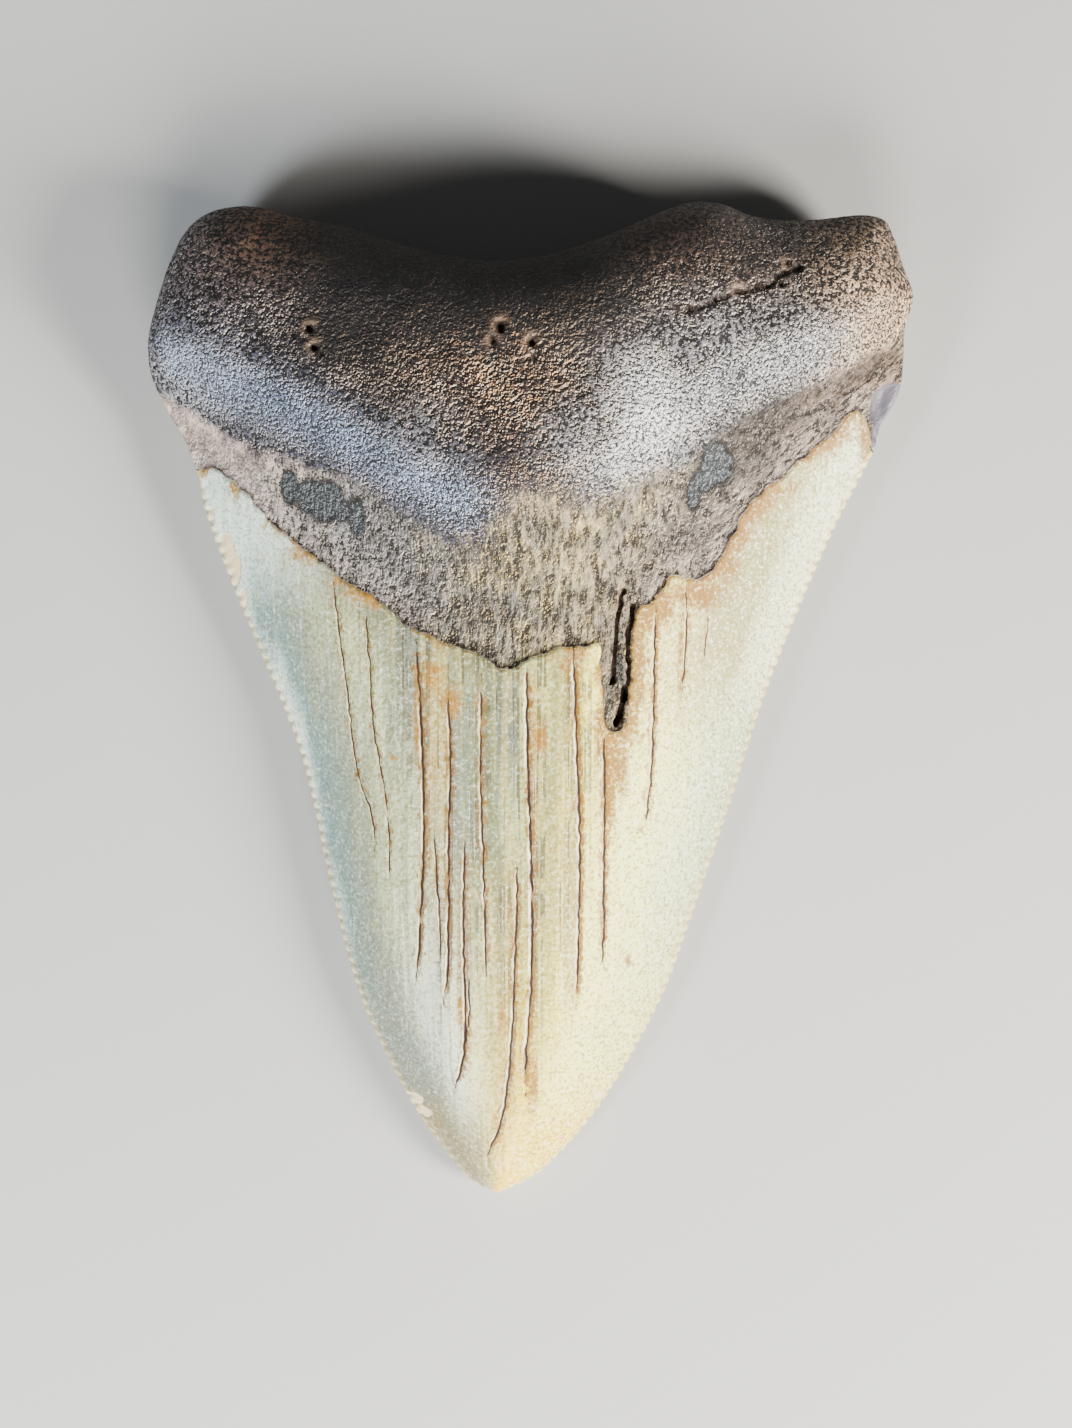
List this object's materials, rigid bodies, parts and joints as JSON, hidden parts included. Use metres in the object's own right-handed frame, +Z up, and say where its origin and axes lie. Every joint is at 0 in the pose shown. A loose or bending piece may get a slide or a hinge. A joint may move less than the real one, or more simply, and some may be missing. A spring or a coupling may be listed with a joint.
{
  "type": "megalodon tooth",
  "caption": "Fossil shark tooth lying flat: a broad serrated enamel blade grown on a thick, bulging two-lobed root.",
  "frame": {"origin": "on the surface that the tooth rests on, under the middle of its box", "axes": "+Y along the tooth from its tip towards its root, +X across its width, +Z up through its thickness, out of the bulging inner face"},
  "size_m": [0.0734, 0.096, 0.0222],
  "materials": {
    "tooth": "satin"
  },
  "bodies": {
    "root": {"tooth": "tooth"}
  },
  "joints": []
}
